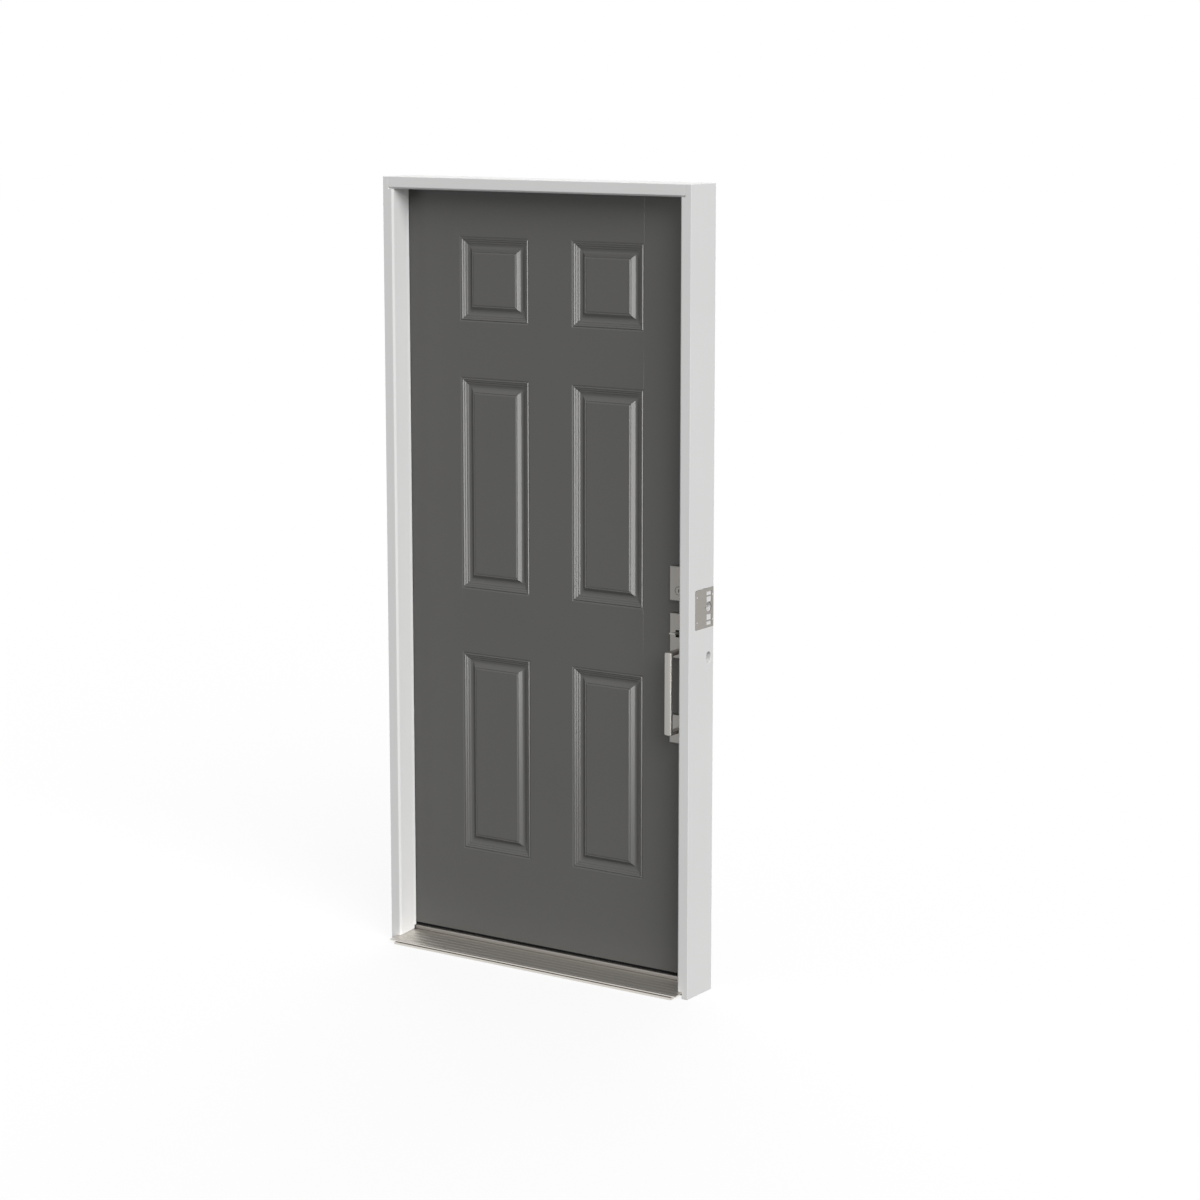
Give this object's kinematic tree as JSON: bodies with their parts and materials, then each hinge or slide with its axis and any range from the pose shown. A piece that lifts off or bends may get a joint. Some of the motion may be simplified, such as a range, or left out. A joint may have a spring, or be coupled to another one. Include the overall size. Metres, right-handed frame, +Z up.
{
  "type": "fiberglass front door with frame",
  "caption": "Pre-hung inswing front door: moulded raised-panel fiberglass slab hung on butt hinges in a rabbeted frame with a sloped ribbed sill and a grip handle set.",
  "frame": {"origin": "on the underside of the sill, at the middle of the frame's width and of its depth", "axes": "+Z up, +X from the hinge side to the lock side seen from outside, +Y into the building"},
  "size_m": [0.9524, 0.202, 2.07],
  "materials": {
    "white_frame": "satin white paint",
    "pale_seal": "soft pale foam skin",
    "sill_aluminium": "satin anodised",
    "sill_base": "matt composite",
    "grey_fiberglass": "smooth satin paint",
    "edge_wood": "painted edge",
    "foam": "rigid foam",
    "black_vinyl": "matt black",
    "satin_nickel": "brushed satin nickel"
  },
  "bodies": {
    "frame": {"hinge_jamb": "white_frame", "strike_jamb": "white_frame", "head_jamb": "white_frame", "hinge_side_seal": "pale_seal", "lock_side_seal": "pale_seal", "head_seal": "pale_seal", "sill_deck": "sill_aluminium", "sill_substrate": "sill_base", "threshold_cap": "sill_aluminium", "latch_strike": "satin_nickel", "bolt_strike": "satin_nickel", "strike_backing_plate": "satin_nickel", "upper_frame_leaf": "satin_nickel", "upper_hinge_pin": "satin_nickel", "middle_frame_leaf": "satin_nickel", "middle_hinge_pin": "satin_nickel", "lower_frame_leaf": "satin_nickel", "lower_hinge_pin": "satin_nickel"},
    "door": {"outside_skin": "grey_fiberglass", "inside_skin": "grey_fiberglass", "hinge_stile": "edge_wood", "lock_stile": "edge_wood", "top_rail": "edge_wood", "bottom_rail": "edge_wood", "foam_core": "foam", "door_sweep": "black_vinyl", "upper_door_leaf": "satin_nickel", "middle_door_leaf": "satin_nickel", "lower_door_leaf": "satin_nickel", "lock_cover": "satin_nickel", "key_cylinder": "satin_nickel", "handle_plate": "satin_nickel", "grip": "satin_nickel", "grip_foot_plate": "satin_nickel", "inside_lock_cover": "satin_nickel", "thumb_turn": "satin_nickel", "inside_rose": "satin_nickel", "inside_lever": "satin_nickel", "latch_bolt": "satin_nickel", "latch_bolt_faceplate": "satin_nickel", "dead_bolt": "satin_nickel", "dead_bolt_faceplate": "satin_nickel"},
    "thumb": {"thumb_piece": "satin_nickel"}
  },
  "joints": [
    {"name": "door_swing", "type": "hinge", "parent": "frame", "child": "door", "pos_m": [-0.4565, 0.065, 1.045], "axis": [0, 0, 1], "range_deg": [0, 170]},
    {"name": "thumb_press", "type": "hinge", "parent": "door", "child": "thumb", "pos_m": [0.409, 0.0075, 0.938], "axis": [1, 0, 0], "range_deg": [0, 18], "stiffness_Nm_per_rad": 0.25, "springref_deg": -17.19}
  ]
}
